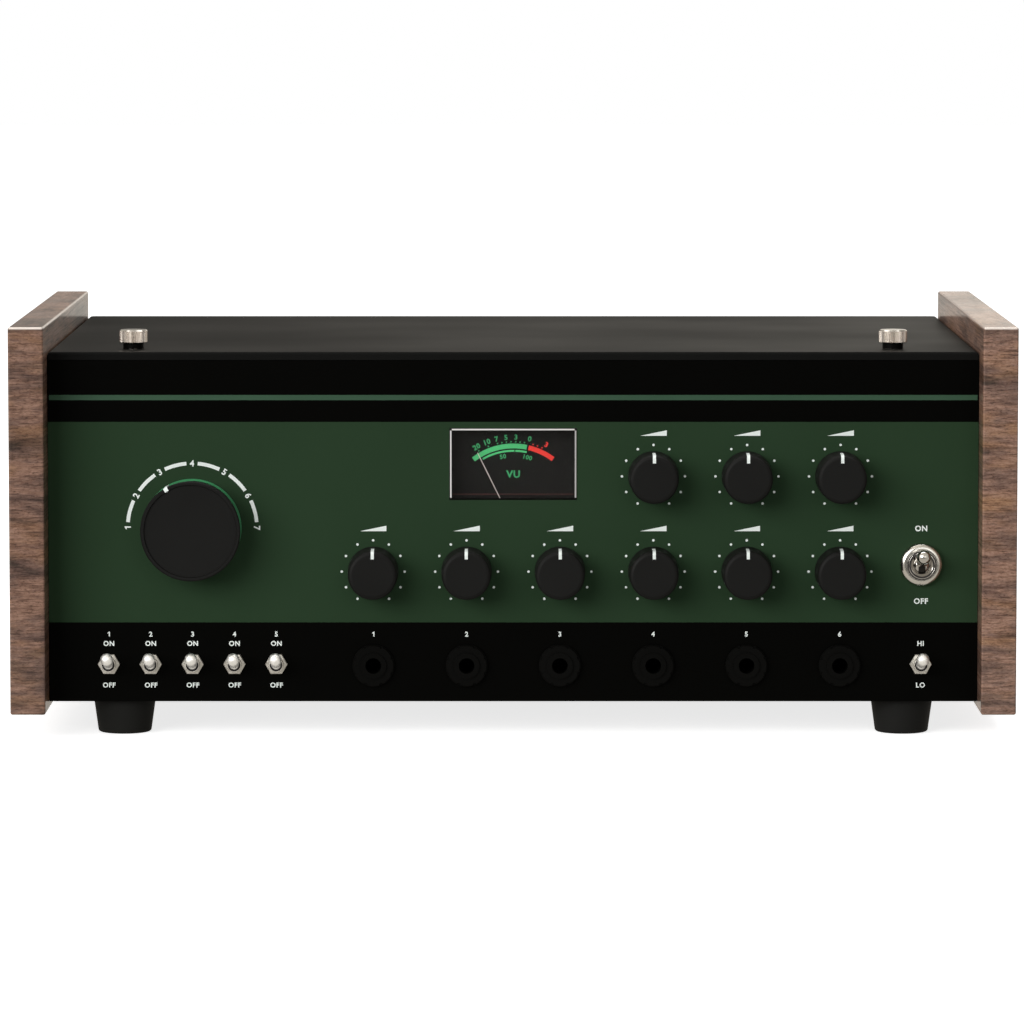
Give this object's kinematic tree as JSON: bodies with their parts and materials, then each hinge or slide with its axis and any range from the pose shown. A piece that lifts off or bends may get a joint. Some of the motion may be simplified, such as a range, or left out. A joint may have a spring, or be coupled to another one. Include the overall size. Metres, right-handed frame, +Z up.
{
  "type": "tape echo unit",
  "caption": "Desktop tape echo effects box: walnut cheeks, steel case with lift-off cover, green and black panel with knobs, meter, toggles and jacks, tape transport inside.",
  "frame": {"origin": "on the surface it stands on, under the middle of the unit's bounding box", "axes": "+X to the right seen from the front, +Y towards the back, +Z up"},
  "size_m": [0.415, 0.2752, 0.1714],
  "materials": {
    "walnut": "satin lacquered walnut",
    "black_steel": "satin black powder coat",
    "panel_paint": "satin dark green and black screen-printed paint",
    "chrome": "polished",
    "nickel": "bright nickel plate",
    "rubber": "matte black",
    "screw_steel": "blackened zinc",
    "knob_plastic": "fine satin black",
    "green_plastic": "bright green",
    "switch_plastic": "moulded black",
    "jack_plastic": "moulded black",
    "pot_metal": "zinc plated",
    "circuit_board": "solder-masked board",
    "meter_dial": "matte charcoal print",
    "needle_white": "white",
    "clear_plastic": "clear acrylic",
    "deck_aluminium": "brushed",
    "grey_plastic": "moulded dark grey",
    "magnetic_tape": "brown oxide tape",
    "polished_steel": "ground and polished",
    "brass": "turned",
    "core_steel": "varnished laminations with a taped coil"
  },
  "bodies": {
    "case": {"capstan_bearing": "brass", "case_screws": "screw_steel", "chassis_tray": "black_steel", "control_board": "circuit_board", "deck_plate": "deck_aluminium", "drive_belt": "rubber", "drive_motor": "pot_metal", "front_panel": "panel_paint", "front_rail": "black_steel", "head_bridge": "deck_aluminium", "iec_inlet": "switch_plastic", "jack_nuts": "jack_plastic", "jacks": "jack_plastic", "main_board": "circuit_board", "mode_ring": "green_plastic", "mode_switch": "switch_plastic", "panel_nuts": "nickel", "potentiometers": "pot_metal", "power_nut": "chrome", "power_switch": "switch_plastic", "power_transformer": "core_steel", "rear_panel": "black_steel", "reverb_tank": "pot_metal", "rubber_feet": "rubber", "side_panel_left": "walnut", "side_panel_right": "walnut", "tank_lid": "clear_plastic", "tape_guides": "polished_steel", "tape_heads": "polished_steel", "tape_loop": "magnetic_tape", "tape_tank": "grey_plastic", "toggle_bodies": "switch_plastic", "vu_case": "switch_plastic", "vu_scale": "meter_dial", "vu_window": "clear_plastic"},
    "cover": {"top_cover": "black_steel"},
    "thumb_screw_left": {"thumb_screw_left": "chrome"},
    "thumb_screw_right": {"thumb_screw_right": "chrome"},
    "mode_knob": {"mode_knob": "knob_plastic"},
    "knob_input_volume": {"knob_input_volume": "knob_plastic"},
    "knob_chorus_rate": {"knob_chorus_rate": "knob_plastic"},
    "knob_chorus_depth": {"knob_chorus_depth": "knob_plastic"},
    "knob_reverb_volume": {"knob_reverb_volume": "knob_plastic"},
    "knob_speed": {"knob_speed": "knob_plastic"},
    "knob_echo_volume": {"knob_echo_volume": "knob_plastic"},
    "knob_bass": {"knob_bass": "knob_plastic"},
    "knob_treble": {"knob_treble": "knob_plastic"},
    "knob_feedback": {"knob_feedback": "knob_plastic"},
    "lever_direct": {"lever_direct": "nickel"},
    "lever_motor": {"lever_motor": "nickel"},
    "lever_layering": {"lever_layering": "nickel"},
    "lever_echo": {"lever_echo": "nickel"},
    "lever_chorus": {"lever_chorus": "nickel"},
    "lever_output_level": {"lever_output_level": "nickel"},
    "power_lever": {"power_lever": "chrome"},
    "vu_needle": {"vu_needle": "needle_white"},
    "capstan": {"capstan_flywheel": "polished_steel"},
    "motor_pulley": {"motor_pulley": "brass"},
    "pinch_arm": {"pinch_arm": "polished_steel"},
    "pinch_roller": {"pinch_roller": "rubber"}
  },
  "joints": [
    {"name": "cover_lift", "type": "slide", "parent": "case", "child": "cover", "axis": [0, 0, 1], "range_m": [0, 0.08]},
    {"name": "thumb_screw_left_turn", "type": "hinge", "parent": "cover", "child": "thumb_screw_left", "pos_m": [-0.1585, -0.0939, 0.1599], "axis": [0, 0, 1], "continuous": true},
    {"name": "thumb_screw_right_turn", "type": "hinge", "parent": "cover", "child": "thumb_screw_right", "pos_m": [0.1585, -0.0939, 0.1599], "axis": [0, 0, 1], "continuous": true},
    {"name": "mode_turn", "type": "hinge", "parent": "case", "child": "mode_knob", "pos_m": [-0.1331, -0.1169, 0.0869], "axis": [0, 1, 0], "range_deg": [-60, 120]},
    {"name": "input_volume_turn", "type": "hinge", "parent": "case", "child": "knob_input_volume", "pos_m": [-0.0581, -0.1169, 0.0686], "axis": [0, 1, 0], "range_deg": [-150, 150]},
    {"name": "chorus_rate_turn", "type": "hinge", "parent": "case", "child": "knob_chorus_rate", "pos_m": [-0.01935, -0.1169, 0.0686], "axis": [0, 1, 0], "range_deg": [-150, 150]},
    {"name": "chorus_depth_turn", "type": "hinge", "parent": "case", "child": "knob_chorus_depth", "pos_m": [0.0194, -0.1169, 0.0686], "axis": [0, 1, 0], "range_deg": [-150, 150]},
    {"name": "reverb_volume_turn", "type": "hinge", "parent": "case", "child": "knob_reverb_volume", "pos_m": [0.05815, -0.1169, 0.0686], "axis": [0, 1, 0], "range_deg": [-150, 150]},
    {"name": "speed_turn", "type": "hinge", "parent": "case", "child": "knob_speed", "pos_m": [0.0969, -0.1169, 0.0686], "axis": [0, 1, 0], "range_deg": [-150, 150]},
    {"name": "echo_volume_turn", "type": "hinge", "parent": "case", "child": "knob_echo_volume", "pos_m": [0.13565, -0.1169, 0.0686], "axis": [0, 1, 0], "range_deg": [-150, 150]},
    {"name": "bass_turn", "type": "hinge", "parent": "case", "child": "knob_bass", "pos_m": [0.05815, -0.1169, 0.1083], "axis": [0, 1, 0], "range_deg": [-150, 150]},
    {"name": "treble_turn", "type": "hinge", "parent": "case", "child": "knob_treble", "pos_m": [0.0969, -0.1169, 0.1083], "axis": [0, 1, 0], "range_deg": [-150, 150]},
    {"name": "feedback_turn", "type": "hinge", "parent": "case", "child": "knob_feedback", "pos_m": [0.13565, -0.1169, 0.1083], "axis": [0, 1, 0], "range_deg": [-150, 150]},
    {"name": "direct_flip", "type": "hinge", "parent": "case", "child": "lever_direct", "pos_m": [-0.168, -0.1204, 0.0301], "axis": [1, 0, 0], "range_deg": [0, 33]},
    {"name": "motor_flip", "type": "hinge", "parent": "case", "child": "lever_motor", "pos_m": [-0.1506, -0.1204, 0.0301], "axis": [1, 0, 0], "range_deg": [0, 33]},
    {"name": "layering_flip", "type": "hinge", "parent": "case", "child": "lever_layering", "pos_m": [-0.1332, -0.1204, 0.0301], "axis": [1, 0, 0], "range_deg": [0, 33]},
    {"name": "echo_flip", "type": "hinge", "parent": "case", "child": "lever_echo", "pos_m": [-0.1158, -0.1204, 0.0301], "axis": [1, 0, 0], "range_deg": [0, 33]},
    {"name": "chorus_flip", "type": "hinge", "parent": "case", "child": "lever_chorus", "pos_m": [-0.0984, -0.1204, 0.0301], "axis": [1, 0, 0], "range_deg": [0, 33]},
    {"name": "output_level_flip", "type": "hinge", "parent": "case", "child": "lever_output_level", "pos_m": [0.1693, -0.1204, 0.0301], "axis": [1, 0, 0], "range_deg": [0, 33]},
    {"name": "power_flip", "type": "hinge", "parent": "case", "child": "power_lever", "pos_m": [0.1693, -0.1193, 0.0717], "axis": [1, 0, 0], "range_deg": [0, 34]},
    {"name": "vu_swing", "type": "hinge", "parent": "case", "child": "vu_needle", "pos_m": [0, -0.1109, 0.0876], "axis": [0, 1, 0], "range_deg": [0, 52], "stiffness_Nm_per_rad": 0.0002},
    {"name": "capstan_spin", "type": "hinge", "parent": "case", "child": "capstan", "pos_m": [0.096, -0.04713, 0.12], "axis": [0, 0, 1], "continuous": true},
    {"name": "motor_spin", "type": "hinge", "parent": "case", "child": "motor_pulley", "pos_m": [0.122, 0.046, 0.092], "axis": [0, 0, 1], "continuous": true},
    {"name": "pinch_swing", "type": "hinge", "parent": "case", "child": "pinch_arm", "pos_m": [0.13, -0.069, 0.12], "axis": [0, 0, 1], "range_deg": [0, 20], "stiffness_Nm_per_rad": 0.02},
    {"name": "pinch_roller_spin", "type": "hinge", "parent": "pinch_arm", "child": "pinch_roller", "pos_m": [0.096, -0.06037, 0.12], "axis": [0, 0, 1], "continuous": true}
  ],
  "couplings": [
    {"joint": "motor_spin", "follows": "capstan_spin", "ratio": 6.3333},
    {"joint": "pinch_roller_spin", "follows": "capstan_spin", "ratio": -0.25}
  ]
}
